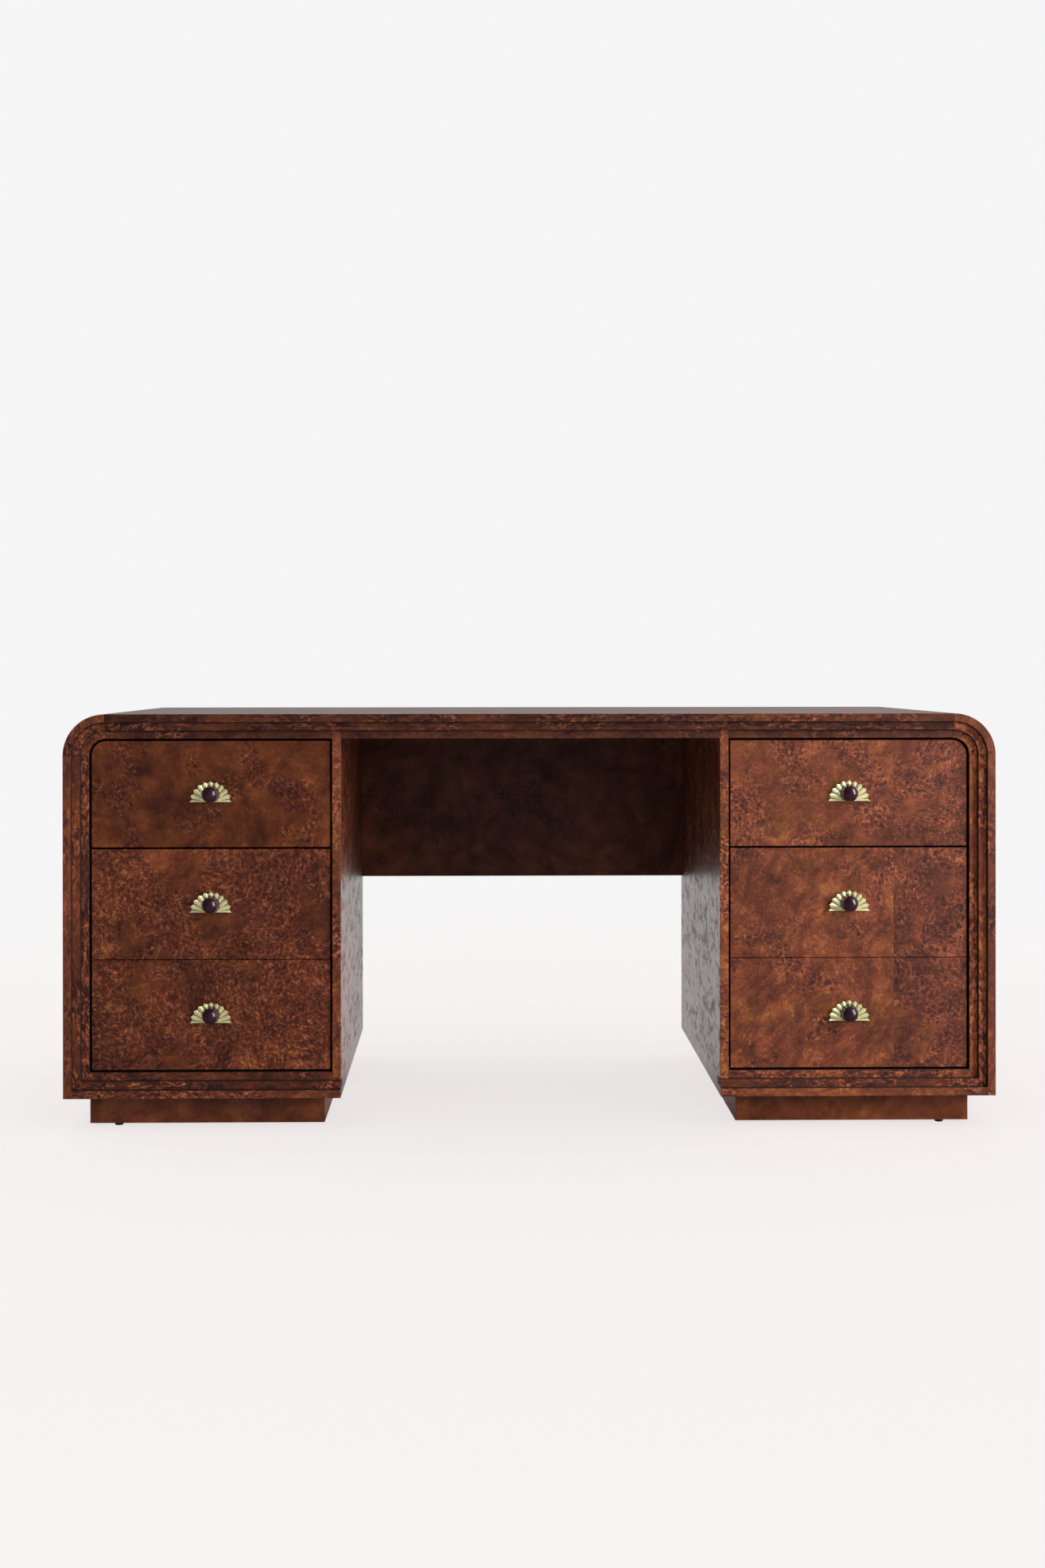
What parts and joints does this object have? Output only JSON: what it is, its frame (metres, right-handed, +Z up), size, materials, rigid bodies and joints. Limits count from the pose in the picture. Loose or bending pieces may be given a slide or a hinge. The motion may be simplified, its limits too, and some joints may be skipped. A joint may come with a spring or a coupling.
{
  "type": "executive desk",
  "caption": "Pedestal executive desk with a stepped, round-cornered waterfall frame, kneehole with modesty panel, full-extension drawers and pleated fan pulls.",
  "frame": {"origin": "on the floor, at the middle of the desk's width and of its depth with the knobs", "axes": "+Z up, +X along the width to the right as seen from the chair, -Y out of the drawer side"},
  "size_m": [1.71, 0.775, 0.762],
  "materials": {
    "burl_case": "dark burl veneer, high-gloss lacquer",
    "burl_front": "dark burl veneer, high-gloss lacquer",
    "panel_veneer": "dark straight-grained veneer, gloss lacquer",
    "plinth_veneer": "dark stained veneer, satin lacquer",
    "case_core": "sealed plain wood",
    "maple_box": "clear-lacquered pale wood",
    "zinc_steel": "bright zinc plate",
    "rail_steel": "black satin paint",
    "satin_brass": "pale satin brass",
    "dark_resin": "polished dark aubergine resin",
    "black_nylon": "black moulded nylon"
  },
  "bodies": {
    "case": {"desktop_panel": "burl_case", "floor_glides": "black_nylon", "left_back_panel": "panel_veneer", "left_base_panel": "burl_case", "left_case_slides": "zinc_steel", "left_corner_bend": "burl_case", "left_divider_rail": "case_core", "left_inner_moulding": "burl_case", "left_kneehole_panel": "panel_veneer", "left_middle_moulding": "burl_case", "left_plinth": "plinth_veneer", "left_side_panel": "burl_case", "modesty_panel": "panel_veneer", "right_back_panel": "panel_veneer", "right_base_panel": "burl_case", "right_case_slides": "zinc_steel", "right_corner_bend": "burl_case", "right_divider_rail": "case_core", "right_inner_moulding": "burl_case", "right_kneehole_panel": "panel_veneer", "right_middle_moulding": "burl_case", "right_plinth": "plinth_veneer", "right_side_panel": "burl_case", "top_inner_moulding": "burl_case", "top_middle_moulding": "burl_case"},
    "left_top_drawer": {"left_top_drawer_box_bottom": "maple_box", "left_top_drawer_box_ends": "maple_box", "left_top_drawer_box_sides": "maple_box", "left_top_drawer_fans": "satin_brass", "left_top_drawer_front": "burl_front", "left_top_drawer_knobs": "dark_resin", "left_top_drawer_slides": "zinc_steel"},
    "left_top_drawer_runners": {"left_top_drawer_runners": "zinc_steel"},
    "left_file_drawer": {"left_file_drawer_box_bottom": "maple_box", "left_file_drawer_box_ends": "maple_box", "left_file_drawer_box_sides": "maple_box", "left_file_drawer_fans": "satin_brass", "left_file_drawer_file_rails": "rail_steel", "left_file_drawer_front": "burl_front", "left_file_drawer_knobs": "dark_resin", "left_file_drawer_slides": "zinc_steel"},
    "left_file_drawer_runners": {"left_file_drawer_runners": "zinc_steel"},
    "right_top_drawer": {"right_top_drawer_box_bottom": "maple_box", "right_top_drawer_box_ends": "maple_box", "right_top_drawer_box_sides": "maple_box", "right_top_drawer_fans": "satin_brass", "right_top_drawer_front": "burl_front", "right_top_drawer_knobs": "dark_resin", "right_top_drawer_slides": "zinc_steel"},
    "right_top_drawer_runners": {"right_top_drawer_runners": "zinc_steel"},
    "right_file_drawer": {"right_file_drawer_box_bottom": "maple_box", "right_file_drawer_box_ends": "maple_box", "right_file_drawer_box_sides": "maple_box", "right_file_drawer_fans": "satin_brass", "right_file_drawer_file_rails": "rail_steel", "right_file_drawer_front": "burl_front", "right_file_drawer_knobs": "dark_resin", "right_file_drawer_slides": "zinc_steel"},
    "right_file_drawer_runners": {"right_file_drawer_runners": "zinc_steel"}
  },
  "joints": [
    {"name": "left_top_drawer_slide", "type": "slide", "parent": "case", "child": "left_top_drawer", "axis": [0, -1, 0], "range_m": [0, 0.61]},
    {"name": "left_top_drawer_runner_slide", "type": "slide", "parent": "case", "child": "left_top_drawer_runners", "axis": [0, -1, 0], "range_m": [0, 0.305]},
    {"name": "left_file_drawer_slide", "type": "slide", "parent": "case", "child": "left_file_drawer", "axis": [0, -1, 0], "range_m": [0, 0.61]},
    {"name": "left_file_drawer_runner_slide", "type": "slide", "parent": "case", "child": "left_file_drawer_runners", "axis": [0, -1, 0], "range_m": [0, 0.305]},
    {"name": "right_top_drawer_slide", "type": "slide", "parent": "case", "child": "right_top_drawer", "axis": [0, -1, 0], "range_m": [0, 0.61]},
    {"name": "right_top_drawer_runner_slide", "type": "slide", "parent": "case", "child": "right_top_drawer_runners", "axis": [0, -1, 0], "range_m": [0, 0.305]},
    {"name": "right_file_drawer_slide", "type": "slide", "parent": "case", "child": "right_file_drawer", "axis": [0, -1, 0], "range_m": [0, 0.61]},
    {"name": "right_file_drawer_runner_slide", "type": "slide", "parent": "case", "child": "right_file_drawer_runners", "axis": [0, -1, 0], "range_m": [0, 0.305]}
  ],
  "couplings": [
    {"joint": "left_top_drawer_runner_slide", "follows": "left_top_drawer_slide", "ratio": 0.5},
    {"joint": "left_file_drawer_runner_slide", "follows": "left_file_drawer_slide", "ratio": 0.5},
    {"joint": "right_top_drawer_runner_slide", "follows": "right_top_drawer_slide", "ratio": 0.5},
    {"joint": "right_file_drawer_runner_slide", "follows": "right_file_drawer_slide", "ratio": 0.5}
  ]
}
